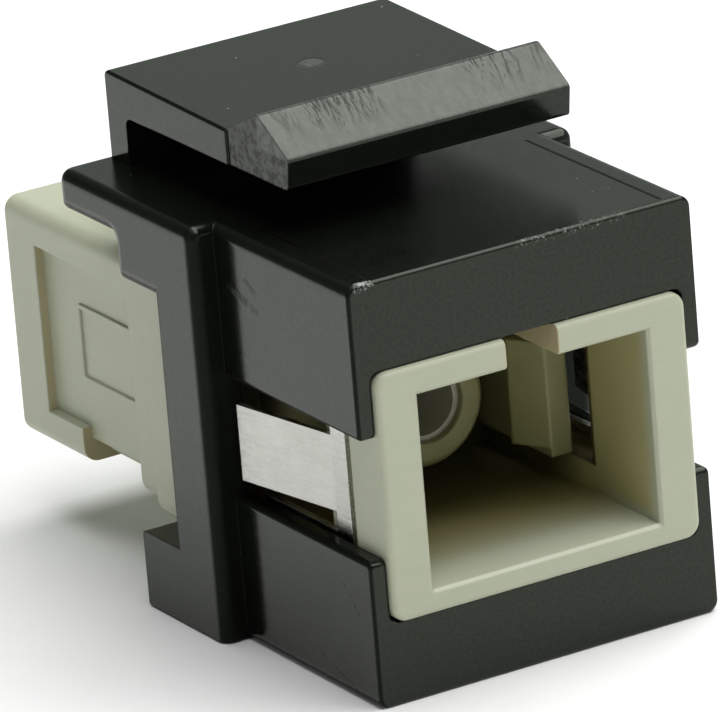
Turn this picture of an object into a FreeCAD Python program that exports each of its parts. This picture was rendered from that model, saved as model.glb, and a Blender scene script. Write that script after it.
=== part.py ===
import FreeCAD, Part
import math
import os
from types import SimpleNamespace

import Sketcher

# Fibre optic adapter for two square plugs, held in a snap-in panel frame.
# Frame of the part: X across, the front port faces -Y, Z up.
# Y = 0 is the plane where the two adapter halves meet, Z = 0 is the flat underside.

SIZES = {
    # front body of the panel frame
    "side_wall": 0.65,
    "body_height": 16.1,
    "body_depth": 9.4,
    "body_round": 0.45,
    "front_round": 0.15,
    "window_height": 4.6,
    "window_round": 0.25,
    "channel_round": 0.4,
    # flange, lips and roof behind the front body
    "shoulder_place": 3.885,
    "shoulder_width": 1.0,
    "flange_depth": 2.8,
    "flange_round": 0.45,
    "top_round": 0.45,
    "foot_round": 0.15,
    "roof_corner_round": 0.6,
    "lower_lip_reach": 2.7,
    "upper_lip_reach": 3.07,
    "roof_reach": 3.9,
    "roof_thickness": 1.65,
    "lip_drop": 0.16,
    "lip_round": 0.2,
    # release arm on the roof
    "arm_width": 12.12,
    "arm_height": 3.21,
    "arm_rise": 0.19,
    "arm_thickness": 1.35,
    "arm_plate_length": 8.8,
    "arm_corner_round": 0.25,
    "arm_edge_round": 0.12,
    "arm_inner_round": 0.4,
    "post_thickness": 1.4,
    "post_inset": 0.35,
    "ridge_rear_run": 2.2,
    "ridge_crest": 0.2,
    "ridge_front_run": 1.95,
    "ridge_rise": 1.07,
    "ridge_nose_drop": 0.13,
    "ridge_nose_draft": 0.2,
    "ridge_end_inset": 0.08,
    "crest_round": 0.3,
    "nose_round": 0.2,
    # adapter halves
    "housing_length": 27.17,
    "housing_width": 13.1,
    "housing_height": 9.47,
    "housing_base": 3.2,
    "housing_round": 0.6,
    "housing_front_round": 0.22,
    "housing_gap": 0.05,
    "collar_length": 3.0,
    "collar_side": 0.2,
    "collar_drop": 0.35,
    "port_width": 9.7,
    "port_height": 7.46,
    "port_floor": 0.9,
    "port_mouth_chamfer": 0.12,
    "key_width": 2.2,
    "key_length": 8.6,
    "relief_depth": 0.5,
    "relief_height": 5.4,
    "relief_place": 9.3,
    "side_opening_start": 1.7,
    "side_opening_end": 8.3,
    "side_opening_slope": 0.75,
    "side_opening_land": 0.05,
    # recess round each half for the sheet-metal clip
    "recess_depth": 0.4,
    "recess_start": 4.475,
    "recess_end": 11.35,
    "recess_height": 6.65,
    "strap_end": 8.8,
    "strap_recess": 0.3,
    "notch_width": 1.15,
    "notch_height": 0.95,
    # sheet-metal clip
    "sheet_thickness": 0.25,
    "sheet_gap": 0.03,
    "plate_front_gap": 0.6,
    "bend_radius": 0.6,
    "tab_root": 9.73,
    "tab_length": 5.13,
    "tab_height": 2.95,
    "tab_flare": 0.9,
    "tab_slot": 0.75,
    # inserts with hooks and sleeve holder
    "insert_side_lip": 0.45,
    "insert_top_lip": 0.37,
    "insert_depth": 1.6,
    "insert_gap": 0.05,
    "holder_wall": 0.75,
    "holder_reach": 5.885,
    "holder_chamfer": 0.25,
    "holder_lip": 0.35,
    "holder_mouth_play": 0.2,
    "hook_gap": 0.2,
    "hook_thickness": 0.88,
    "hook_reach": 8.05,
    "hook_height": 4.8,
    "barb_depth": 0.82,
    "barb_length": 1.45,
    "barb_height": 4.1,
    # split alignment sleeve
    "ferrule_radius": 1.25,
    "sleeve_wall": 0.35,
    "sleeve_play": 0.05,
    "sleeve_slit": 0.5,
}

SHEET = "sizes"
NEAR = 0.01
UPRIGHT = FreeCAD.Vector(0, 0, 1)


class Length:
    """A size in millimetres that keeps its number and the sheet formula behind it."""

    def __init__(self, formula, number):
        self.formula = formula
        self.number = number

    def __add__(self, other):
        other = as_length(other)
        return Length(f"({self.formula} + {other.formula})", self.number + other.number)

    def __sub__(self, other):
        other = as_length(other)
        return Length(f"({self.formula} - {other.formula})", self.number - other.number)

    def __mul__(self, factor):
        return Length(f"({self.formula} * {factor})", self.number * factor)

    def __truediv__(self, factor):
        return Length(f"({self.formula} / {factor})", self.number / factor)

    def __neg__(self):
        return self * -1


def as_length(value):
    if isinstance(value, Length):
        return value
    return Length(str(value), value)


def write_sheet(doc):
    """The driving sizes, one named cell each; returns them as lengths bound to those cells."""
    sheet = doc.addObject("Spreadsheet::Sheet", SHEET)
    sizes = SimpleNamespace()
    for row, (name, number) in enumerate(SIZES.items(), start=1):
        sheet.set(f"A{row}", name)
        sheet.set(f"B{row}", str(number))
        sheet.setAlias(f"B{row}", name)
        setattr(sizes, name, Length(f"{SHEET}.{name}", number))
    doc.recompute()
    return sizes


def find_places(s):
    """Planes that several pieces share, worked out from the driving sizes."""
    p = SimpleNamespace()
    p.half_length = s.housing_length / 2
    p.channel_side = s.housing_width / 2 + s.housing_gap
    p.body_side = p.channel_side + s.side_wall
    p.flange_side = p.body_side + s.shoulder_width
    p.shoulder = -s.shoulder_place
    p.front_face = p.shoulder - s.body_depth
    p.flange_rear = p.shoulder + s.flange_depth
    p.lower_lip_rear = p.flange_rear + s.lower_lip_reach
    p.upper_lip_rear = p.flange_rear + s.upper_lip_reach
    p.roof_rear = p.upper_lip_rear + s.roof_reach
    p.roof_under = s.body_height - s.roof_thickness
    p.housing_top = s.housing_base + s.housing_height
    p.housing_middle = s.housing_base + s.housing_height / 2
    p.channel_bottom = s.housing_base - s.housing_gap
    p.channel_top = p.housing_top + s.housing_gap
    p.collar_bottom = s.housing_base - s.collar_drop
    p.seat_bottom = p.collar_bottom - s.housing_gap
    p.lip_top = s.housing_base - s.lip_drop
    p.port_bottom = s.housing_base + s.port_floor
    p.port_top = p.port_bottom + s.port_height
    p.port_axis = p.port_bottom + s.port_height / 2
    p.post_rear = p.roof_rear - s.post_inset
    p.post_front = p.post_rear - s.post_thickness
    p.arm_top = s.body_height + s.arm_height
    p.arm_under = p.arm_top - s.arm_thickness
    p.arm_rear_top = p.arm_top + s.arm_rise
    p.ridge_start = p.post_rear - s.arm_plate_length
    p.recess_floor = s.housing_width / 2 - s.recess_depth
    p.recess_bottom = p.housing_middle - s.recess_height / 2
    p.recess_top = p.housing_middle + s.recess_height / 2
    p.strap_floor = s.housing_base + s.strap_recess
    p.sleeve_outer = s.ferrule_radius + s.sleeve_wall
    p.holder_bore = p.sleeve_outer + s.sleeve_play
    p.holder_radius = p.holder_bore + s.holder_wall
    p.sleeve_reach = s.holder_reach - s.holder_lip
    p.insert_side = s.port_width / 2 + s.insert_side_lip
    p.insert_reach = s.port_height / 2 + s.insert_top_lip
    p.hook_outer = s.port_width / 2 - s.hook_gap
    p.hook_inner = p.hook_outer - s.hook_thickness
    return p


def new_body(doc, label):
    body = doc.addObject("PartDesign::Body", label)
    body.Label = label
    return body


def new_sketch(body, name, plane, place=None):
    """A sketch on one of the body's own origin planes, moved along its normal by place."""
    sketch = body.newObject("Sketcher::SketchObject", f"{body.Name}_{name}")
    planes = {feature.Role: feature for feature in body.Origin.OriginFeatures}
    sketch.AttachmentSupport = [(planes[plane], "")]
    sketch.MapMode = "FlatFace"
    if place is not None:
        sketch.setExpression("AttachmentOffset.Base.z", place.formula)
    return sketch


def front_sketch(body, name, y):
    """A sketch across the part at the given Y; its normal points to the front."""
    return new_sketch(body, name, "XZ_Plane", -as_length(y))


def side_sketch(body, name):
    return new_sketch(body, name, "YZ_Plane")


def plan_sketch(body, name, z):
    return new_sketch(body, name, "XY_Plane", z)


def fix(sketch, kind, geometry, end, value):
    """One coordinate of a sketch point, bound to its formula."""
    index = sketch.addConstraint(Sketcher.Constraint(kind, geometry, end, value.number))
    name = f"size_{index}"
    sketch.renameConstraint(index, name)
    sketch.setExpression(f"Constraints.{name}", value.formula)


def fix_point(sketch, geometry, end, point):
    fix(sketch, "DistanceX", geometry, end, point[0])
    fix(sketch, "DistanceY", geometry, end, point[1])


def flat(point):
    return FreeCAD.Vector(point[0].number, point[1].number, 0)


def heading(start, finish):
    """Direction of a level or upright run, as -1, 0 or 1 along each sketch axis."""
    gaps = (as_length(finish[i]).number - as_length(start[i]).number for i in (0, 1))
    return [0 if abs(gap) < NEAR else int(math.copysign(1, gap)) for gap in gaps]


def step(point, way, distance):
    return tuple(c if w == 0 else c + distance * w for c, w in zip(point, way))


def corner_points(corners, index):
    """Where the outline enters and leaves a corner, and the arc's centre if it is rounded."""
    corner = corners[index]
    point = (as_length(corner[0]), as_length(corner[1]))
    if len(corner) == 2:
        return point, point, None
    radius = corner[2]
    arriving = heading(corners[index - 1], corner)
    leaving = heading(corner, corners[(index + 1) % len(corners)])
    enter = step(point, arriving, -radius)
    leave = step(point, leaving, radius)
    centre = step(enter, leaving, radius)
    return enter, leave, centre


def draw_arc(sketch, enter, leave, centre):
    """A quarter arc from enter to leave; returns its index and the ends that meet them."""
    middle = flat(centre)
    first = flat(enter) - middle
    last = flat(leave) - middle
    turns_left = first.cross(last).z > 0
    start, stop = (first, last) if turns_left else (last, first)
    circle = Part.Circle(middle, UPRIGHT, first.Length)
    begin = math.atan2(start.y, start.x)
    arc = Part.ArcOfCircle(circle, begin, begin + math.pi / 2)
    index = sketch.addGeometry(arc, False)
    ends = (1, 2) if turns_left else (2, 1)
    return index, ends


def join(sketch, first, first_end, second, second_end):
    sketch.addConstraint(Sketcher.Constraint("Coincident", first, first_end, second, second_end))


def outline(sketch, corners):
    """A closed outline through the corners; a third value rounds a square corner."""
    points = [corner_points(corners, index) for index in range(len(corners))]
    lines = []
    for index, (_, leave, _) in enumerate(points):
        following = points[(index + 1) % len(points)][0]
        line = Part.LineSegment(flat(leave), flat(following))
        lines.append(sketch.addGeometry(line, False))
    for index, (enter, leave, centre) in enumerate(points):
        arriving = lines[index - 1]
        leaving = lines[index]
        fix_point(sketch, leaving, 1, leave)
        if centre is None:
            join(sketch, arriving, 2, leaving, 1)
            continue
        fix_point(sketch, arriving, 2, enter)
        arc, ends = draw_arc(sketch, enter, leave, centre)
        join(sketch, arriving, 2, arc, ends[0])
        join(sketch, leaving, 1, arc, ends[1])
        fix(sketch, "DistanceX", arc, 3, centre[0])


def rectangle(sketch, left, right, bottom, top, radius=None):
    corners = [(left, bottom), (right, bottom), (right, top), (left, top)]
    if radius is not None:
        corners = [(u, v, radius) for u, v in corners]
    outline(sketch, corners)


def circle(sketch, u, v, radius):
    centre = (as_length(u), as_length(v))
    index = sketch.addGeometry(Part.Circle(flat(centre), UPRIGHT, radius.number), False)
    fix_point(sketch, index, 3, centre)
    radius_constraint = sketch.addConstraint(Sketcher.Constraint("Radius", index, radius.number))
    name = f"size_{radius_constraint}"
    sketch.renameConstraint(radius_constraint, name)
    sketch.setExpression(f"Constraints.{name}", radius.formula)


def extrude(kind, sketch, length, symmetric, reverse):
    body = sketch.getParentGeoFeatureGroup()
    feature = body.newObject(f"PartDesign::{kind}", f"{sketch.Name}_{kind}")
    feature.Profile = sketch
    feature.SideType = "Symmetric" if symmetric else "One side"
    feature.Reversed = reverse
    feature.setExpression("Length", length.formula)
    body.Document.recompute()
    return feature


def pad(sketch, length, symmetric=False, reverse=False):
    return extrude("Pad", sketch, length, symmetric, reverse)


def pocket(sketch, length, symmetric=False, reverse=False):
    """A cut, compared by volume so that one that misses the solid doesn't pass unseen."""
    body = sketch.getParentGeoFeatureGroup()
    before = body.Tip.Shape.Volume
    feature = extrude("Pocket", sketch, length, symmetric, reverse)
    if not feature.Shape.Volume < before:
        raise RuntimeError(f"{feature.Name} cuts nothing")
    return feature


def lies_on(edge, **places):
    """True where the whole edge lies on each named plane, such as y=front_face."""
    box = edge.BoundBox
    spans = {"x": (box.XMin, box.XMax), "y": (box.YMin, box.YMax), "z": (box.ZMin, box.ZMax)}
    return all(
        abs(spans[axis][0] - as_length(place).number) < NEAR
        and abs(spans[axis][1] - as_length(place).number) < NEAR
        for axis, place in places.items()
    )


def is_above(edge, z):
    return edge.BoundBox.ZMin > z.number - NEAR


def dress_edges(kind, setting, body, name, size, chosen):
    """A fillet or chamfer on the edges of the body's last feature that the test picks."""
    base = body.Tip
    edges = [f"Edge{n}" for n, edge in enumerate(base.Shape.Edges, start=1) if chosen(edge)]
    feature = body.newObject(f"PartDesign::{kind}", f"{body.Name}_{name}")
    feature.Base = (base, edges)
    feature.setExpression(setting, size.formula)
    body.Document.recompute()
    return feature


def fillet(body, name, radius, chosen):
    return dress_edges("Fillet", "Radius", body, name, radius, chosen)


def chamfer(body, name, size, chosen):
    return dress_edges("Chamfer", "Size", body, name, size, chosen)


def build_keystone_frame(doc, s, p):
    """Black carrier: flange, lips and roof from one side profile, then the front body."""
    body = new_body(doc, "keystone_frame")
    profile = side_sketch(body, "side_profile")
    outline(profile, [
        (p.shoulder, 0),
        (p.lower_lip_rear, 0),
        (p.lower_lip_rear, p.lip_top, s.lip_round),
        (p.flange_rear, p.lip_top),
        (p.flange_rear, p.channel_top),
        (p.upper_lip_rear, p.channel_top, s.lip_round),
        (p.upper_lip_rear, p.roof_under, s.lip_round),
        (p.roof_rear, p.roof_under, s.lip_round),
        (p.roof_rear, s.body_height),
        (p.shoulder, s.body_height),
    ])
    pad(profile, p.flange_side * 2, symmetric=True)

    side = p.flange_side
    fillet(body, "flange_corners", s.flange_round, lambda edge: any(
        lies_on(edge, x=x, y=p.shoulder) for x in (side, -side)))
    fillet(body, "roof_corners", s.roof_corner_round, lambda edge: any(
        lies_on(edge, x=x, y=p.roof_rear) for x in (side, -side)))
    fillet(body, "top_edge", s.top_round, lambda edge: lies_on(edge, z=s.body_height))
    fillet(body, "foot_edge", s.foot_round, lambda edge: lies_on(edge, z=0))

    front = front_sketch(body, "front_body", p.flange_rear)
    rectangle(front, -p.body_side, p.body_side, 0, s.body_height, s.body_round)
    pad(front, s.body_depth + s.flange_depth)
    fillet(body, "front_edge", s.front_round, lambda edge: lies_on(edge, y=p.front_face))

    channel = front_sketch(body, "channel", p.front_face)
    rectangle(channel, -p.channel_side, p.channel_side, p.channel_bottom, p.channel_top, s.channel_round)
    pocket(channel, s.body_depth + s.flange_depth)

    seat = front_sketch(body, "collar_seat", -s.collar_length)
    seat_side = p.channel_side + s.collar_side
    rectangle(seat, -seat_side, seat_side, p.seat_bottom, p.channel_top)
    pocket(seat, s.collar_length + s.flange_depth)

    window = side_sketch(body, "side_windows")
    window_bottom = p.housing_middle - s.window_height / 2
    window_top = p.housing_middle + s.window_height / 2
    rectangle(window, p.front_face, p.shoulder, window_bottom, window_top)
    pocket(window, p.body_side * 2, symmetric=True)
    fillet(body, "window_edges", s.window_round, lambda edge: any(
        lies_on(edge, x=x, z=z)
        for x in (p.body_side, -p.body_side) for z in (window_bottom, window_top)))
    return body


def build_latch_arm(doc, s, p):
    """Release arm: post and plate as one bent strip, with a wedge-shaped ridge at its end."""
    body = new_body(doc, "latch_arm")
    strip = side_sketch(body, "strip")
    outline(strip, [
        (p.post_rear, s.body_height),
        (p.post_rear, p.arm_rear_top),
        (p.ridge_start, p.arm_top),
        (p.ridge_start, p.arm_under),
        (p.post_front, p.arm_under, s.arm_inner_round),
        (p.post_front, s.body_height),
    ])
    pad(strip, s.arm_width, symmetric=True)
    side = s.arm_width / 2
    fillet(body, "rear_corner", s.arm_corner_round, lambda edge: lies_on(
        edge, y=p.post_rear, z=p.arm_rear_top))
    fillet(body, "top_edges", s.arm_edge_round, lambda edge: any(
        lies_on(edge, x=x) and is_above(edge, p.arm_top) for x in (side, -side)))

    crest_rear = p.ridge_start - s.ridge_rear_run
    crest_front = crest_rear - s.ridge_crest
    nose = crest_front - s.ridge_front_run
    nose_foot = nose + s.ridge_nose_draft
    crest = p.arm_top + s.ridge_rise
    ridge = side_sketch(body, "ridge")
    outline(ridge, [
        (p.ridge_start, p.arm_top),
        (crest_rear, crest),
        (crest_front, crest),
        (nose, p.arm_top - s.ridge_nose_drop),
        (nose_foot, p.arm_under),
        (p.ridge_start, p.arm_under),
    ])
    pad(ridge, s.arm_width - s.ridge_end_inset * 2, symmetric=True)
    fillet(body, "crest", s.crest_round, lambda edge: any(
        lies_on(edge, y=y, z=crest) for y in (crest_rear, crest_front)))
    fillet(body, "nose", s.nose_round, lambda edge: any((
        lies_on(edge, y=nose, z=p.arm_top - s.ridge_nose_drop),
        lies_on(edge, y=nose_foot, z=p.arm_under),
    )))
    return body


def is_port_mouth(edge, s, p):
    """True for the four edges where the port opens in the front face."""
    half = s.port_width / 2
    return lies_on(edge, y=-p.half_length) and any((
        lies_on(edge, x=half),
        lies_on(edge, x=-half),
        lies_on(edge, z=p.port_bottom),
        lies_on(edge, z=p.port_top),
    ))


def build_housing(doc, s, p, label, open_sides=False):
    """One adapter half, drawn as the front one: open at the front, welded at Y = 0.

    The half that carries the clip has open sides, so that its tabs can be pressed in.
    """
    body = new_body(doc, label)
    side = s.housing_width / 2
    section = front_sketch(body, "section", 0)
    rectangle(section, -side, side, s.housing_base, p.housing_top, s.housing_round)
    pad(section, p.half_length)
    fillet(body, "front_edge", s.housing_front_round, lambda edge: lies_on(edge, y=-p.half_length))

    collar = front_sketch(body, "collar", 0)
    collar_side = side + s.collar_side
    rectangle(collar, -collar_side, collar_side, p.collar_bottom, p.housing_top, s.housing_round)
    pad(collar, s.collar_length)

    port = front_sketch(body, "port", -p.half_length)
    rectangle(port, -s.port_width / 2, s.port_width / 2, p.port_bottom, p.port_top)
    pocket(port, p.half_length)
    chamfer(body, "port_mouth", s.port_mouth_chamfer, lambda edge: is_port_mouth(edge, s, p))

    seat = front_sketch(body, "insert_seat", 0)
    seat_side = p.insert_side + s.insert_gap
    seat_reach = p.insert_reach + s.insert_gap
    rectangle(seat, -seat_side, seat_side, p.port_axis - seat_reach, p.port_axis + seat_reach)
    pocket(seat, s.insert_depth, reverse=True)

    key = front_sketch(body, "key_slot", -p.half_length)
    rectangle(key, -s.key_width / 2, s.key_width / 2, p.port_axis, p.housing_top + s.housing_gap)
    pocket(key, s.key_length)

    relief = front_sketch(body, "hook_relief", -s.relief_place)
    relief_side = s.port_width / 2 + s.relief_depth
    relief_reach = s.relief_height / 2
    rectangle(relief, -relief_side, relief_side, p.port_axis - relief_reach, p.port_axis + relief_reach)
    pocket(relief, s.relief_place)
    if open_sides:
        opening = side_sketch(body, "side_openings")
        opening_bottom = p.port_axis - relief_reach
        opening_top = p.port_axis + relief_reach
        rectangle(opening, -s.side_opening_end, -s.side_opening_start, opening_bottom, opening_top)
        pocket(opening, collar_side * 2, symmetric=True)

    recess = front_sketch(body, "clip_recess", -s.recess_end)
    for way in (-1, 1):
        inner, outer = sorted((p.recess_floor * way, collar_side * way), key=lambda u: u.number)
        rectangle(recess, inner, outer, p.recess_bottom, p.recess_top)
    pocket(recess, s.recess_end - s.recess_start)
    if open_sides:
        slopes = plan_sketch(body, "opening_slopes", opening_top)
        for way in (-1, 1):
            outline(slopes, [
                (p.recess_floor * way, -s.side_opening_end),
                ((relief_side + s.side_opening_land) * way, -s.side_opening_end),
                (p.recess_floor * way, -(s.side_opening_end + s.side_opening_slope)),
            ])
        pocket(slopes, s.relief_height)

    strap = front_sketch(body, "strap_recess", -s.strap_end)
    notch_side = side - s.notch_width
    notch_top = s.housing_base + s.notch_height
    below = p.collar_bottom
    outline(strap, [
        (-collar_side, below),
        (collar_side, below),
        (collar_side, p.recess_bottom),
        (p.recess_floor, p.recess_bottom),
        (p.recess_floor, notch_top),
        (notch_side, notch_top),
        (notch_side, p.strap_floor),
        (-notch_side, p.strap_floor),
        (-notch_side, notch_top),
        (-p.recess_floor, notch_top),
        (-p.recess_floor, p.recess_bottom),
        (-collar_side, p.recess_bottom),
    ])
    pocket(strap, s.strap_end - s.recess_start)
    return body


def build_retaining_clip(doc, s, p):
    """Sheet-metal clip: side plates joined by a strap below, each with a tab flared outwards."""
    body = new_body(doc, "retaining_clip")
    inner = p.recess_floor
    outer = inner + s.sheet_thickness
    strap_bottom = p.strap_floor - s.sheet_thickness
    plate_top = p.recess_top - s.sheet_gap
    plate_bottom = p.recess_bottom + s.sheet_gap
    rear = -(s.recess_start + s.sheet_gap)

    bent = front_sketch(body, "bent_strap", rear)
    inner_bend = s.bend_radius - s.sheet_thickness
    outline(bent, [
        (-outer, plate_top),
        (-outer, strap_bottom, s.bend_radius),
        (outer, strap_bottom, s.bend_radius),
        (outer, plate_top),
        (inner, plate_top),
        (inner, p.strap_floor, inner_bend),
        (-inner, p.strap_floor, inner_bend),
        (-inner, plate_top),
    ])
    pad(bent, s.strap_end - s.recess_start - s.sheet_gap * 2)

    plates = front_sketch(body, "side_plates", rear)
    for way in (-1, 1):
        left, right = sorted((inner * way, outer * way), key=lambda u: u.number)
        rectangle(plates, left, right, plate_bottom, plate_top)
    pad(plates, s.recess_end - s.recess_start - s.sheet_gap - s.plate_front_gap)

    slot = side_sketch(body, "tab_slots")
    slot_reach = s.tab_height / 2 + s.tab_slot
    slot_bottom = p.housing_middle - slot_reach
    slot_top = p.housing_middle + slot_reach
    rectangle(slot, -s.tab_root, -s.recess_start, slot_bottom, slot_top)
    pocket(slot, outer * 2, symmetric=True)

    tabs = plan_sketch(body, "tabs", p.housing_middle)
    tab_end = s.tab_length - s.tab_root
    tab_start = -s.tab_root
    root_overlap = s.sheet_thickness
    for way in (-1, 1):
        outline(tabs, [
            (inner * way, tab_start - root_overlap),
            (inner * way, tab_start),
            ((inner + s.tab_flare) * way, tab_end),
            ((outer + s.tab_flare) * way, tab_end),
            (outer * way, tab_start),
            (outer * way, tab_start - root_overlap),
        ])
    pad(tabs, s.tab_height, symmetric=True)
    return body


def build_insert(doc, s, p, label):
    """Inner moulding of one port: flange at the middle, half a sleeve holder and two hooks."""
    body = new_body(doc, label)
    flange = front_sketch(body, "flange", 0)
    bottom = p.port_axis - p.insert_reach
    top = p.port_axis + p.insert_reach
    rectangle(flange, -p.insert_side, p.insert_side, bottom, top)
    pad(flange, s.insert_depth)

    holder = front_sketch(body, "holder", 0)
    circle(holder, 0, p.port_axis, p.holder_radius)
    pad(holder, s.holder_reach)
    chamfer(body, "holder_edge", s.holder_chamfer, lambda edge: lies_on(edge, y=-s.holder_reach))

    arms = plan_sketch(body, "hook_arms", p.port_axis)
    for way in (-1, 1):
        left, right = sorted((p.hook_inner * way, p.hook_outer * way), key=lambda u: u.number)
        rectangle(arms, left, right, -s.hook_reach, -s.insert_depth / 2)
    pad(arms, s.hook_height, symmetric=True)

    barbs = plan_sketch(body, "hook_barbs", p.port_axis)
    barb_face = s.barb_length - s.hook_reach
    for way in (-1, 1):
        outline(barbs, [
            (p.hook_inner * way, -s.hook_reach),
            ((p.hook_inner - s.barb_depth) * way, barb_face),
            ((p.hook_inner + s.hook_thickness / 2) * way, barb_face),
            ((p.hook_inner + s.hook_thickness / 2) * way, -s.hook_reach),
        ])
    pad(barbs, s.barb_height, symmetric=True)

    bore = front_sketch(body, "sleeve_bore", 0)
    circle(bore, 0, p.port_axis, p.holder_bore)
    pocket(bore, s.holder_reach - s.holder_lip, reverse=True)

    mouth = front_sketch(body, "ferrule_mouth", 0)
    circle(mouth, 0, p.port_axis, s.ferrule_radius + s.holder_mouth_play)
    pocket(mouth, s.holder_reach, reverse=True)
    return body


def build_alignment_sleeve(doc, s, p):
    """Thin split tube that grips the two ferrules."""
    body = new_body(doc, "alignment_sleeve")
    ring = front_sketch(body, "ring", 0)
    circle(ring, 0, p.port_axis, p.sleeve_outer)
    circle(ring, 0, p.port_axis, s.ferrule_radius)
    pad(ring, p.sleeve_reach * 2, symmetric=True)

    slit = front_sketch(body, "slit", 0)
    rectangle(slit, -s.sleeve_slit / 2, s.sleeve_slit / 2, p.port_axis, p.port_axis + p.holder_bore)
    pocket(slit, p.sleeve_reach * 2, symmetric=True)
    return body


def turn_round(body):
    """Turns a half about the upright axis, so that it serves the rear port."""
    body.Placement = FreeCAD.Placement(FreeCAD.Vector(0, 0, 0), FreeCAD.Rotation(UPRIGHT, 180))
    return body


def check_document(doc, bodies):
    for item in doc.Objects:
        if "Invalid" in item.State or "Error" in item.State:
            raise RuntimeError(f"{item.Name} failed: {item.State}")
    for body in bodies:
        if body.Shape.isNull() or not body.Shape.isValid():
            raise RuntimeError(f"{body.Label} has no valid shape")
        if len(body.Shape.Solids) != 1:
            raise RuntimeError(f"{body.Label} has {len(body.Shape.Solids)} solids")


def main():
    doc = FreeCAD.newDocument("fibre_adapter")
    s = write_sheet(doc)
    p = find_places(s)
    bodies = [
        build_keystone_frame(doc, s, p),
        build_latch_arm(doc, s, p),
        build_housing(doc, s, p, "front_housing", open_sides=True),
        turn_round(build_housing(doc, s, p, "rear_housing")),
        build_retaining_clip(doc, s, p),
        build_insert(doc, s, p, "front_insert"),
        turn_round(build_insert(doc, s, p, "rear_insert")),
        build_alignment_sleeve(doc, s, p),
    ]
    doc.recompute()
    check_document(doc, bodies)
    os.makedirs("parts", exist_ok=True)
    for body in bodies:
        body.Shape.exportStep(f"parts/{body.Label}.step")
        box = body.Shape.BoundBox
        print(f"{body.Label}: {body.Shape.Volume:.1f} mm3, Y {box.YMin:.2f} to {box.YMax:.2f}")


main()
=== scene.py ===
import math

import bmesh
import bpy
from mathutils import Matrix, Vector


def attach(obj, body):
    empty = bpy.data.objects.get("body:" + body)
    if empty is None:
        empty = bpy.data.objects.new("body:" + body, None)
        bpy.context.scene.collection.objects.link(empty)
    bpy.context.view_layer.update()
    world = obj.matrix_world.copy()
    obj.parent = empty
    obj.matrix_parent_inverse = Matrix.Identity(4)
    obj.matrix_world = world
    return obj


MM = 0.001
PER_METRE = 1000.0

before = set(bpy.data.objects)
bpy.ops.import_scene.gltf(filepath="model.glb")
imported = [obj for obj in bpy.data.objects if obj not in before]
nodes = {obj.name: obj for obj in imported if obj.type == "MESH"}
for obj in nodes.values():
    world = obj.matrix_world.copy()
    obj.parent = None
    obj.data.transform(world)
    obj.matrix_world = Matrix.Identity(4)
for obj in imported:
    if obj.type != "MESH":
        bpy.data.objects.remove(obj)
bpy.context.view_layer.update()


class Tree:
    """Short calls for building a node tree."""

    def __init__(self, tree):
        self.tree = tree

    def add(self, kind, inputs=None, **settings):
        node = self.tree.nodes.new(kind)
        for name, value in settings.items():
            setattr(node, name, value)
        for key, value in (inputs or {}).items():
            self.put(node.inputs[key], value)
        return node

    def put(self, socket, value):
        if isinstance(value, bpy.types.NodeSocket):
            self.tree.links.new(value, socket)
        else:
            socket.default_value = value

    def ramp(self, value, start, end, low=0.0, high=1.0):
        """Goes smoothly from low to high as the value goes from start to end."""
        inputs = {"Value": value, "From Min": start, "From Max": end, "To Min": low, "To Max": high}
        return self.add("ShaderNodeMapRange", inputs, interpolation_type="SMOOTHSTEP").outputs[0]


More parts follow.
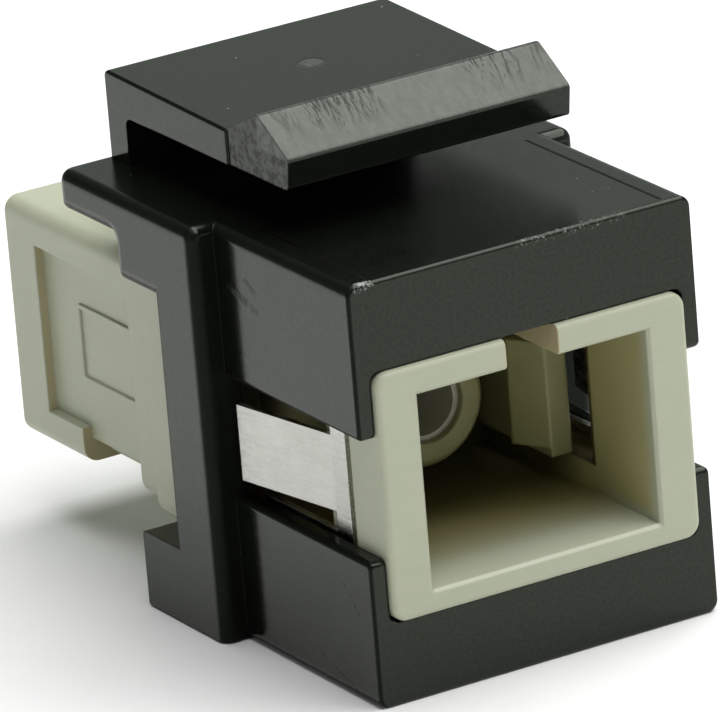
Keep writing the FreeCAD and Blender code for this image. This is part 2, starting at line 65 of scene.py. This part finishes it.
class Surface(Tree):
    """A node material under construction; positions are in millimetres of the model frame."""

    STROKE_CORE = 0.3
    EDGE_TURN = (0.995, 0.9)
    CORNER_TURN = (0.01, 0.12)
    BEVEL_SAMPLES = 6

    def __init__(self, name):
        self.material = bpy.data.materials.new(name)
        self.material.use_nodes = True
        super().__init__(self.material.node_tree)
        self.tree.nodes.clear()
        output = self.add("ShaderNodeOutputMaterial")
        self.shader = self.add("ShaderNodeBsdfPrincipled")
        self.put(output.inputs["Surface"], self.shader.outputs[0])
        metres = self.add("ShaderNodeTexCoord").outputs["Object"]
        self.place = self.vector("SCALE", {0: metres, 3: PER_METRE})
        self.x, self.y, self.z = self.add("ShaderNodeSeparateXYZ", {0: self.place}).outputs

    def set(self, **values):
        for name, value in values.items():
            self.put(self.shader.inputs[name.replace("_", " ")], value)

    def math(self, operation, a, b=0.0):
        return self.add("ShaderNodeMath", {0: a, 1: b}, operation=operation).outputs[0]

    def size(self, value):
        return self.math("ABSOLUTE", value)

    def times(self, first, *others):
        for other in others:
            first = self.math("MULTIPLY", first, other)
        return first

    def highest(self, first, *others):
        for other in others:
            first = self.math("MAXIMUM", first, other)
        return first

    def rest(self, mask):
        return self.math("SUBTRACT", 1.0, mask)

    def vector(self, operation, inputs):
        return self.add("ShaderNodeVectorMath", inputs, operation=operation).outputs["Vector"]

    def measure(self, operation, a, b):
        node = self.add("ShaderNodeVectorMath", {0: a, 1: b}, operation=operation)
        return node.outputs["Value"]

    def band(self, value, start, end, soft):
        """One between start and end, falling to zero over the soft width outside them."""
        rise = self.ramp(value, start - soft, start)
        fall = self.ramp(value, end, end + soft, 1.0, 0.0)
        return self.times(rise, fall)

    def stroke(self, start, end, width):
        """One along a straight scratch between two points, fading out over its width."""
        run = Vector(end) - Vector(start)
        offset = self.vector("SUBTRACT", {0: self.place, 1: start})
        share = self.measure("DOT_PRODUCT", offset, run / run.length_squared)
        share = self.add("ShaderNodeClamp", {"Value": share}).outputs[0]
        nearest = self.vector("SCALE", {0: run, 3: share})
        gap = self.measure("DISTANCE", offset, nearest)
        return self.ramp(gap, width, width * self.STROKE_CORE)

    def stretched(self, scale, turn=(0.0, 0.0, 0.0)):
        turned = self.add("ShaderNodeMapping", {"Vector": self.place, "Rotation": turn}).outputs[0]
        return self.add("ShaderNodeMapping", {"Vector": turned, "Scale": scale}).outputs[0]

    def noise(self, per_mm, detail, rough, place=None):
        inputs = {"Vector": place or self.place, "Scale": per_mm, "Detail": detail, "Roughness": rough}
        return self.add("ShaderNodeTexNoise", inputs).outputs["Fac"]

    def blend(self, factor, first, second):
        mix = self.add("ShaderNodeMix", data_type="RGBA")
        self.put(mix.inputs["Factor"], factor)
        self.put(mix.inputs[6], first)
        self.put(mix.inputs[7], second)
        return mix.outputs[2]

    def bump(self, height, depth, normal=None):
        """Bump from a height of zero to one that stands for the depth in millimetres."""
        node = self.add("ShaderNodeBump", {"Height": height, "Strength": 1.0, "Distance": depth * MM})
        if normal:
            self.put(node.inputs["Normal"], normal)
        return node.outputs[0]

    def soft_edges(self, radius):
        bevel = self.add("ShaderNodeBevel", {"Radius": radius * MM}, samples=self.BEVEL_SAMPLES)
        return bevel.outputs[0]

    def edge_mask(self, radius):
        """Near one along edges and zero on open faces."""
        flat = self.add("ShaderNodeNewGeometry").outputs["True Normal"]
        same = self.measure("DOT_PRODUCT", self.soft_edges(radius), flat)
        return self.ramp(same, *self.EDGE_TURN)

    def corner_mask(self, radius):
        """Near one where a side turns into another face and zero on flat faces."""
        across = self.add("ShaderNodeSeparateXYZ", {0: self.soft_edges(radius)}).outputs["X"]
        square = self.times(across, across)
        return self.ramp(self.times(square, self.rest(square)), *self.CORNER_TURN)


# Black plastic
BLACK_TONES = (0.0024, 0.0032, 0.0022, 1), (0.0054, 0.0066, 0.0046, 1)
# Pale tone of rubbed wear, also a painted reflection on the latch ridge's slope; dark tone of scores,
# also painted shade in the frame's roof grooves
RUBBED_AND_SHEEN_TONE = (0.30, 0.31, 0.29, 1)
SCORED_AND_SHADE_TONE = (0.0008, 0.0008, 0.0008, 1)
BLACK_SHEEN = (0.90, 1.0, 0.82, 1)
BLACK_IOR = 1.43
BLACK_ROUGHNESS = (0.10, 0.17)
BLACK_GLOSS = (0.42, 0.58)
BLACK_EDGE_ROUND = 0.07
BLACK_GRAIN_DEPTH = 0.0009
MARK_DEPTH = 0.012
WORN_ROUGHNESS = 0.3
MATT_GLOSS = 0.3
WEAR_EDGE = 0.12


def black_plastic(name, wear_and_shading):
    """Dark satin moulding; the given function adds the marks of one piece, with its painted shade and
    painted reflection.

    It returns where the surface is rubbed bare or paled by a painted reflection, where it is scored
    dark or darkened by painted shade, the height of the marks, where the surface is matt, and the
    roughness added elsewhere.
    """
    s = Surface(name)
    mottle = s.noise(1.3, 4.0, 0.6)
    grain = s.noise(11.0, 3.0, 0.65)
    worn_and_sheen, scored_and_shaded, height, matt, dull = wear_and_shading(s)
    tone = s.blend(mottle, *BLACK_TONES)
    # The pale tone paints rubbed wear and the latch slope's painted reflection; the dark tone paints
    # scores and the painted shade in the roof grooves
    tone = s.blend(worn_and_sheen, tone, RUBBED_AND_SHEEN_TONE)
    tone = s.blend(scored_and_shaded, tone, SCORED_AND_SHADE_TONE)
    satin = s.ramp(s.noise(5.0, 3.0, 0.6), 0.3, 0.7, *BLACK_ROUGHNESS)
    rougher = s.highest(s.times(s.highest(worn_and_sheen, matt), WORN_ROUGHNESS), dull)
    gloss = s.ramp(s.noise(7.0, 3.0, 0.7), 0.25, 0.75, *BLACK_GLOSS)
    gloss = s.times(gloss, s.ramp(matt, 0.0, 1.0, 1.0, MATT_GLOSS))
    normal = s.soft_edges(BLACK_EDGE_ROUND)
    normal = s.bump(grain, BLACK_GRAIN_DEPTH, normal)
    normal = s.bump(height, MARK_DEPTH, normal)
    s.set(Base_Color=tone, Roughness=s.math("ADD", satin, rougher), Normal=normal)
    s.set(IOR=BLACK_IOR, Specular_IOR_Level=gloss, Specular_Tint=BLACK_SHEEN)
    return s.material


# Places of the frame's wear and of the painted shade in its roof grooves: each pair is where a mask
# starts and where it is full or ends
FRAME_LEFT = -7.25
FRAME_FRONT = (-12.95, -13.1)
FRAME_TOP = (15.75, 15.95)
FRAME_BELOW_TOP = (15.7, 15.6)
ROOF_LEVEL = (16.0, 16.08)
RUB_RUN = (-3.0, -13.0)
RUB_X = (0.2, 4.0)
CHIP_X = (-6.9, -6.2)
GROOVE_SIDE = (6.10, 6.20)
GROOVE_RUN = (-13.0, -3.9)
SHOULDER_Y = (-3.92, -3.84)
SHOULDER_SIDE = (6.2, 6.3)
ROOF_ROUGHNESS = 0.09
MATT_CORNER = 0.14


def frame_wear_and_shade(s):
    """Rubbed front edges, a chipped corner, marks on the left, and the grooves along the roof, darkened
    with painted shade.
    """
    side = s.size(s.x)
    on_top = s.ramp(s.z, *FRAME_TOP)
    front_edge = s.times(on_top, s.ramp(s.y, *FRAME_FRONT))

    specks = s.ramp(s.noise(4.5, 4.0, 0.7), 0.60, 0.70)
    rubbed = s.times(s.edge_mask(WEAR_EDGE), specks, s.ramp(s.y, *RUB_RUN, 0.05, 0.6))
    dust = s.times(s.ramp(s.noise(2.4, 2.0, 0.5), 0.77, 0.79), on_top, 0.4)
    flakes = s.ramp(s.noise(3.4, 5.0, 0.75), 0.52, 0.60)
    chip = s.times(front_edge, s.band(s.x, *CHIP_X, 0.25), flakes)
    scuffs = s.ramp(s.noise(6.0, 5.0, 0.75), 0.55, 0.65)
    rub = s.times(front_edge, s.band(s.x, *RUB_X, 0.6), scuffs, 0.6)
    worn_and_sheen = s.highest(rubbed, dust, chip, rub)

    smudges = s.highest(
        s.stroke((FRAME_LEFT, -4.5, 14.0), (FRAME_LEFT, -6.7, 13.5), 0.22),
        s.stroke((FRAME_LEFT, -6.0, 14.5), (FRAME_LEFT, -6.7, 14.15), 0.2),
    )
    scratches = s.highest(
        s.stroke((FRAME_LEFT, -11.0, 4.6), (FRAME_LEFT, -11.7, 4.1), 0.10),
        s.stroke((FRAME_LEFT, -11.7, 4.1), (FRAME_LEFT, -12.3, 3.45), 0.10),
        s.stroke((FRAME_LEFT, -9.4, 1.1), (FRAME_LEFT, -12.3, 0.2), 0.09),
    )
    patchy = s.ramp(s.noise(4.0, 3.0, 0.7), 0.3, 0.65)
    marks = s.times(s.highest(s.times(smudges, 0.45), s.times(scratches, 0.6)), patchy)

    # The roof groove is dented, made matt and darkened with painted shade
    shaded_groove = s.times(s.band(side, *GROOVE_SIDE, 0.04), on_top, s.band(s.y, *GROOVE_RUN, 0.08))
    below_top = s.ramp(s.z, *FRAME_BELOW_TOP)
    shoulders = s.times(s.band(s.y, *SHOULDER_Y, 0.03), s.ramp(side, *SHOULDER_SIDE), below_top)
    matt = s.highest(s.corner_mask(MATT_CORNER), shoulders, marks, shaded_groove)
    dull = s.times(s.ramp(s.z, *ROOF_LEVEL), ROOF_ROUGHNESS)
    return worn_and_sheen, shaded_groove, s.rest(s.highest(shaded_groove, marks)), matt, dull


# Places of the latch arm's wear and of the painted reflection on its ridge
PLATE_LEVEL = (19.05, 19.2)
RIDGE_SLOPE = (-5.45, -5.6)
RIDGE_RIM = (-5.0, -5.6)
RIDGE_RUN = (-7.5, -5.9)
RIDGE_REAR = (-3.25, -3.35)
RIDGE_SIDE = (5.93, 5.97)
PIN_PLACE = (0.1, 0.86, 19.40)
PIN_EDGE = (0.52, 0.40)
PIN_RING = (0.46, 0.50)
LEANING = (0.0, 0.0, math.radians(13))
STEEP = (0.0, 0.0, math.radians(-9))


def latch_wear_and_sheen(s):
    """A scuffed ridge whose paler slope is partly real scuffing and partly a painted reflection, with
    gouges in groups, specks, and a dull pin mark on the plate.
    """
    above_plate = s.ramp(s.z, *PLATE_LEVEL)
    slope = s.times(s.ramp(s.y, *RIDGE_SLOPE), above_plate)
    # Painted reflection: the paler tone over the ridge's slope is partly real scuffing and partly
    # paints the reflection of the light on it
    scuff_and_sheen = s.ramp(s.noise(1.6, 4.0, 0.65, s.stretched((2.0, 0.6, 0.6))), 0.25, 0.75, 0.15, 0.25)

    groups = s.highest(
        s.times(s.band(s.x, -5.5, -4.7, 0.2), 0.5),
        s.band(s.x, -4.0, -1.4, 0.4),
        s.band(s.x, 2.8, 4.5, 0.4),
        s.times(s.band(s.x, 5.3, 5.8, 0.2), 0.7),
    )
    leaning = s.noise(1.0, 4.0, 0.7, s.stretched((7.0, 0.6, 0.6), LEANING))
    steep = s.noise(1.0, 4.0, 0.7, s.stretched((8.0, 0.5, 0.5), STEEP))
    strokes = s.highest(s.ramp(leaning, 0.54, 0.60), s.ramp(steep, 0.57, 0.62))
    gouges = s.times(slope, groups, s.ramp(s.y, *RIDGE_RUN), strokes)

    specks = s.times(s.ramp(s.noise(3.2, 2.0, 0.5), 0.75, 0.78), above_plate, 0.6)
    flakes = s.ramp(s.noise(4.0, 4.0, 0.7), 0.58, 0.70)
    rim = s.times(s.edge_mask(WEAR_EDGE), flakes, s.ramp(s.y, *RIDGE_RIM))
    from_pin = s.measure("DISTANCE", s.place, PIN_PLACE)
    pin_dust = s.ramp(s.noise(5.0, 4.0, 0.7), 0.35, 0.65, 0.05, 0.22)
    pin_mark = s.times(s.ramp(from_pin, *PIN_EDGE), pin_dust)
    worn_and_sheen = s.highest(s.times(slope, scuff_and_sheen), specks, s.times(rim, 0.4), pin_mark)
    dents = s.highest(s.times(s.band(from_pin, *PIN_RING, 0.05), 0.5), gouges)

    ridge_ends = s.times(s.ramp(s.size(s.x), *RIDGE_SIDE), s.ramp(s.y, *RIDGE_REAR))
    blotches = s.ramp(s.noise(2.5, 4.0, 0.7), 0.35, 0.65, 0.15, 0.65)
    matt = s.highest(s.times(gouges, 0.4), s.times(ridge_ends, blotches))
    return worn_and_sheen, s.times(gouges, 0.7), s.rest(dents), matt, 0.0


# Beige plastic, and the places in it painted darker and warmer as shade, or paler as light
BEIGE_TONES = (0.425, 0.448, 0.332, 1), (0.455, 0.476, 0.360, 1)
BEIGE_FLOW_TONE = (0.40, 0.42, 0.295, 1)
BEIGE_ROUGHNESS = (0.34, 0.48)
BEIGE_EDGE_ROUND = 0.1
# Painted shade inside the port: warmer from the mouth in, and darkest deep inside
PORT_SHADE_TONE = (0.42, 0.385, 0.19, 1)
PORT_DEEP_SHADE_TONE = (0.17, 0.15, 0.06, 1)
# Painted light: paler tone for the port's floor near the mouth
PORT_MOUTH_LIGHT_TONE = (0.53, 0.555, 0.43, 1)
PORT_SIDE = (4.98, 4.88)
PORT_HEIGHT = (4.08, 11.6)
PORT_SHADE = (12.5, 8.5)
PORT_DEEP_SHADE = (8.6, 5.8)
WALL_SIDE = (4.6, 4.8)
WALL_FOOT = (4.2, 4.6)
WALL_MOUTH = (13.5, 12.6)
FLOOR_SIDE = (4.85, 4.7)
FLOOR_LEVEL = (4.0, 4.15)
FLOOR_MOUTH = (10.5, 12.5)
KEY_SLOT_SHADE_TONE = (0.48, 0.41, 0.25, 1)
KEY_SLOT_SIDE = (1.16, 1.12)
KEY_SLOT_HEIGHT = (11.55, 12.6)
OPENING_SHADE_TONE = (0.15, 0.115, 0.045, 1)
OPENING_SIDE = (4.95, 6.10)
OPENING_HEIGHT = (5.1, 10.55)
OPENING_RUN = (-9.3, -1.65)
FLANK_SHADE_TONE = (0.46, 0.36, 0.18, 1)
FLANK_SHARE = 0.6
RECESS_END = (11.3, 11.4)
RECESS_SIDE = (6.2, 6.48)
RECESS_HEIGHT = (4.65, 11.2)
STRAP_END = (8.76, 8.84)
STRAP_TOP = (4.62, 4.56)
PLASTIC_IOR = 1.5
SCATTER_COLOURS = (1.0, 0.9, 0.6)


def beige_plastic(name):
    """Fine satin moulding, with painted shade, darker and warmer, inside its ports, slots and recesses,
    and a painted pool of light on the port's floor at its mouth.
    """
    s = Surface(name)
    side = s.size(s.x)
    along = s.size(s.y)
    cloud = s.noise(0.35, 3.0, 0.6)
    flow = s.noise(1.0, 4.0, 0.6, s.stretched((0.5, 0.5, 5.0)))
    tone = s.blend(cloud, *BEIGE_TONES)
    tone = s.blend(s.ramp(flow, 0.35, 0.75, 0.0, 0.3), tone, BEIGE_FLOW_TONE)

    inside = s.times(s.ramp(side, *PORT_SIDE), s.band(s.z, *PORT_HEIGHT, 0.06))
    walls = s.times(s.ramp(side, *WALL_SIDE), s.ramp(s.z, *WALL_FOOT), s.ramp(along, *WALL_MOUTH))
    shade = s.times(inside, s.highest(s.ramp(along, *PORT_SHADE), walls))
    # Painted shade: the port is painted darker and warmer inwards from its mouth, and darker still deep
    # inside
    tone = s.blend(shade, tone, PORT_SHADE_TONE)
    tone = s.blend(s.times(inside, s.ramp(along, *PORT_DEEP_SHADE)), tone, PORT_DEEP_SHADE_TONE)
    # Painted light: the port's floor near the mouth is painted paler
    lit_mouth_floor = s.times(
        s.ramp(side, *FLOOR_SIDE),
        s.band(s.z, *FLOOR_LEVEL, 0.05),
        s.ramp(along, *FLOOR_MOUTH),
    )
    tone = s.blend(lit_mouth_floor, tone, PORT_MOUTH_LIGHT_TONE)
    # Painted shade: the key slot in the port's roof is painted warmer and darker
    key_slot_shade = s.times(s.ramp(side, *KEY_SLOT_SIDE), s.band(s.z, *KEY_SLOT_HEIGHT, 0.05))
    tone = s.blend(key_slot_shade, tone, KEY_SLOT_SHADE_TONE)

    # Painted shade: the side openings are painted dark brown
    opening_shade = s.times(
        s.band(side, *OPENING_SIDE, 0.03),
        s.band(s.z, *OPENING_HEIGHT, 0.03),
        s.band(s.y, *OPENING_RUN, 0.05),
    )
    tone = s.blend(opening_shade, tone, OPENING_SHADE_TONE)
    # Painted shade: the flanks of the clip recess and of the strap's end are painted warmer and darker
    recess_flank = s.times(
        s.band(along, *RECESS_END, 0.04),
        s.band(side, *RECESS_SIDE, 0.04),
        s.band(s.z, *RECESS_HEIGHT, 0.05),
    )
    strap_flank = s.times(s.band(along, *STRAP_END, 0.04), s.ramp(s.z, *STRAP_TOP))
    tone = s.blend(s.times(s.highest(recess_flank, strap_flank), FLANK_SHARE), tone, FLANK_SHADE_TONE)

    grain = s.noise(18.0, 3.0, 0.6)
    satin = s.ramp(grain, 0.3, 0.7, *BEIGE_ROUGHNESS)
    normal = s.bump(grain, 0.0012, s.soft_edges(BEIGE_EDGE_ROUND))
    s.set(Base_Color=tone, Roughness=satin, Normal=normal, IOR=PLASTIC_IOR)
    s.set(Subsurface_Weight=0.12, Subsurface_Radius=SCATTER_COLOURS, Subsurface_Scale=0.3 * MM)
    return s.material


# Clip, inserts, sleeve and floor
STEEL_TONES = (0.42, 0.425, 0.39, 1), (0.54, 0.545, 0.51, 1)
STEEL_ROUGHNESS = (0.20, 0.32)
NATURAL_TONES = (0.29, 0.28, 0.13, 1), (0.35, 0.34, 0.18, 1)
NATURAL_DEEP_SHADE_TONE = (0.10, 0.09, 0.04, 1)
NATURAL_DEEP_SHADE = (4.0, 1.7)
NATURAL_ROUGHNESS = (0.26, 0.38)
CERAMIC_TONES = (0.50, 0.48, 0.40, 1), (0.56, 0.54, 0.46, 1)
CERAMIC_ROUGHNESS = (0.08, 0.16)
CERAMIC_IOR = 2.1
FLOOR_TONES = (0.90, 0.90, 0.895, 1), (0.92, 0.92, 0.915, 1)
FLOOR_ROUGHNESS = (0.7, 0.85)
FLOOR_SIZE = 4.0


def spring_steel(name):
    """Bright sheet with the fine lines of rolling along the adapter."""
    s = Surface(name)
    rolled = s.noise(1.0, 4.0, 0.65, s.stretched((7.0, 0.5, 7.0)))
    tone = s.blend(s.noise(0.7, 3.0, 0.5), *STEEL_TONES)
    satin = s.ramp(rolled, 0.3, 0.7, *STEEL_ROUGHNESS)
    normal = s.bump(rolled, 0.0013, s.soft_edges(0.04))
    s.set(Base_Color=tone, Roughness=satin, Normal=normal, Metallic=1.0, Anisotropic=0.4)
    return s.material


def natural_plastic(name):
    """Smooth moulding of the inserts, with painted shade darkening it towards the middle of the
    adapter.
    """
    s = Surface(name)
    tone = s.blend(s.noise(0.8, 3.0, 0.6), *NATURAL_TONES)
    # Painted shade: darker towards the middle of the adapter
    tone = s.blend(s.ramp(s.size(s.y), *NATURAL_DEEP_SHADE), tone, NATURAL_DEEP_SHADE_TONE)
    grain = s.noise(20.0, 2.0, 0.5)
    satin = s.ramp(grain, 0.3, 0.7, *NATURAL_ROUGHNESS)
    normal = s.bump(grain, 0.0008, s.soft_edges(0.2))
    s.set(Base_Color=tone, Roughness=satin, Normal=normal, IOR=PLASTIC_IOR)
    s.set(Subsurface_Weight=0.3, Subsurface_Radius=SCATTER_COLOURS, Subsurface_Scale=0.4 * MM)
    return s.material


def white_ceramic(name):
    """Polished sleeve."""
    s = Surface(name)
    tone = s.blend(s.noise(1.5, 3.0, 0.6), *CERAMIC_TONES)
    satin = s.ramp(s.noise(12.0, 3.0, 0.6), 0.3, 0.7, *CERAMIC_ROUGHNESS)
    normal = s.bump(s.noise(30.0, 2.0, 0.5), 0.0003, s.soft_edges(0.03))
    s.set(Base_Color=tone, Roughness=satin, Normal=normal, IOR=CERAMIC_IOR)
    return s.material


def floor_paper(name):
    """Pale matt paper."""
    s = Surface(name)
    fibre = s.noise(0.4, 4.0, 0.6)
    satin = s.ramp(fibre, 0.3, 0.7, *FLOOR_ROUGHNESS)
    s.set(Base_Color=s.blend(fibre, *FLOOR_TONES), Roughness=satin, Normal=s.bump(fibre, 0.004))
    s.set(Specular_IOR_Level=0.2)
    return s.material


def dress(material, *names):
    """Gives the material to the CAD nodes of these names."""
    for name in names:
        piece = nodes[name]
        if not piece.material_slots:
            piece.data.materials.append(material)
        for slot in piece.material_slots:
            slot.material = material


def mould_mark(name, x, y, z, line, height, radius):
    """Raised outline of a bare marking field, with rounded corners and sloping flanks."""
    sunk = 0.02
    flank = 0.03
    corner_steps = 6
    (y0, y1), (z0, z1) = y, z
    centres = (
        (y1 - radius, z1 - radius),
        (y0 + radius, z1 - radius),
        (y0 + radius, z0 + radius),
        (y1 - radius, z0 + radius),
    )
    outer_side = (0, -sunk), (0, 0), (flank, height)
    inner_side = (line - flank, height), (line, 0), (line, -sunk)

    shape = bmesh.new()
    rings = []
    for inset, lift in outer_side + inner_side:
        reach = radius - inset
        ring = []
        for quarter, (cy, cz) in enumerate(centres):
            for step in range(corner_steps + 1):
                angle = math.radians(90 * quarter + 90 / corner_steps * step)
                point = (x - lift, cy + reach * math.cos(angle), cz + reach * math.sin(angle))
                ring.append(shape.verts.new(Vector(point) * MM))
        rings.append(ring)
    count = len(rings[0])
    for inner, outer in zip(rings[1:] + rings[:1], rings):
        for i in range(count):
            j = (i + 1) % count
            shape.faces.new((outer[i], outer[j], inner[j], inner[i]))
    bmesh.ops.recalc_face_normals(shape, faces=shape.faces)
    mesh = bpy.data.meshes.new(name)
    shape.to_mesh(mesh)
    shape.free()
    piece = bpy.data.objects.new(name, mesh)
    bpy.context.scene.collection.objects.link(piece)
    return piece


# Studio: radiances, the directions in which the surround changes, and the panels in metres
SURROUND_COLOUR = (0.90, 1.0, 0.92, 1)
WALL_RADIANCE = 0.45
LEFT_WALL_RADIANCE = 0.12
LEFT_WALL_TURN = (-0.3, 0.2)
CEILING_RADIANCE = 0.06
CEILING_START = math.sin(math.radians(22))
CEILING_END = math.sin(math.radians(30))
SOFTBOX_RADIANCE = 3.5
FILL_RADIANCE = 0.35


def surround(name):
    """Pale low walls, darker on the left, under a dim ceiling."""
    world = bpy.data.worlds.new(name)
    world.use_nodes = True
    t = Tree(world.node_tree)
    background = t.tree.nodes["Background"]
    direction = t.add("ShaderNodeTexCoord").outputs["Generated"]
    heading = t.add("ShaderNodeSeparateXYZ", {0: direction}).outputs
    wall = t.ramp(heading["X"], *LEFT_WALL_TURN, LEFT_WALL_RADIANCE, WALL_RADIANCE)
    radiance = t.ramp(heading["Z"], CEILING_START, CEILING_END, wall, CEILING_RADIANCE)
    t.put(background.inputs["Color"], SURROUND_COLOUR)
    t.put(background.inputs["Strength"], radiance)
    return world


def panel(name, radiance, width, depth, place):
    """A soft panel of light that faces the object."""
    light = bpy.data.lights.new(name, "AREA")
    light.shape = "RECTANGLE"
    light.size = width
    light.size_y = depth
    light.energy = radiance * math.pi * width * depth
    lamp = bpy.data.objects.new(name, light)
    lamp.location = place
    lamp.rotation_euler = Vector(place).to_track_quat("Z", "Y").to_euler()
    bpy.context.scene.collection.objects.link(lamp)


# Camera, fitted to the corners of the object in the photograph
AZIMUTH = math.radians(-29.6149)
ELEVATION = math.radians(19.6325)
ROLL = math.radians(-4.7727)
DISTANCE = 373.3307 * MM
AIM = Vector((-1.5759, -3.885, 9.6303)) * MM
SENSOR_WIDTH = 36.0
FOCAL_LENGTH = 510.64
CLIP_RANGE = (0.02, 20.0)


def photo_camera(name):
    """The camera at the photograph's angle."""
    back = Vector((
        math.sin(AZIMUTH) * math.cos(ELEVATION),
        -math.cos(AZIMUTH) * math.cos(ELEVATION),
        math.sin(ELEVATION),
    ))
    level = Vector((math.cos(AZIMUTH), math.sin(AZIMUTH), 0.0))
    above = back.cross(level)
    right = math.cos(ROLL) * level + math.sin(ROLL) * above
    upward = math.cos(ROLL) * above - math.sin(ROLL) * level
    lens = bpy.data.cameras.new(name)
    lens.sensor_width = SENSOR_WIDTH
    lens.lens = FOCAL_LENGTH
    lens.clip_start, lens.clip_end = CLIP_RANGE
    camera = bpy.data.objects.new(name, lens)
    turn = Matrix((right, upward, back)).transposed().to_4x4()
    camera.matrix_world = Matrix.Translation(AIM + DISTANCE * back) @ turn
    bpy.context.scene.collection.objects.link(camera)
    return camera


# Finishes of the pieces
dress(black_plastic("black_plastic_frame", frame_wear_and_shade), "keystone_frame")
dress(black_plastic("black_plastic_latch", latch_wear_and_sheen), "latch_arm")
beige = beige_plastic("beige_plastic_fine")
dress(beige, "front_housing", "rear_housing")
dress(spring_steel("spring_steel_rolled"), "retaining_clip")
dress(natural_plastic("natural_plastic_smooth"), "front_insert", "rear_insert")
dress(white_ceramic("white_ceramic_polished"), "alignment_sleeve")

# The marking field on the rear half, left without its figures
mark = mould_mark(
    "rear_mark_field",
    x=-6.15,
    y=(4.05, 9.0),
    z=(6.43, 9.53),
    line=0.22,
    height=0.1,
    radius=0.25,
)
mark.data.materials.append(beige)
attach(mark, "adapter")

# Floor
bpy.ops.mesh.primitive_grid_add(x_subdivisions=8, y_subdivisions=8, size=FLOOR_SIZE, location=(0, 0, 0))
floor = bpy.context.object
floor.name = "floor"
floor.data.materials.append(floor_paper("floor_paper"))

# Light and camera
scene = bpy.context.scene
scene.world = surround("studio")
panel("softbox", SOFTBOX_RADIANCE, width=0.62, depth=0.62, place=(0.13, -0.03, 0.42))
panel("left_fill", FILL_RADIANCE, width=0.5, depth=0.35, place=(-0.45, -0.08, 0.24))
scene.camera = photo_camera("camera")
scene.view_settings.view_transform = "Standard"
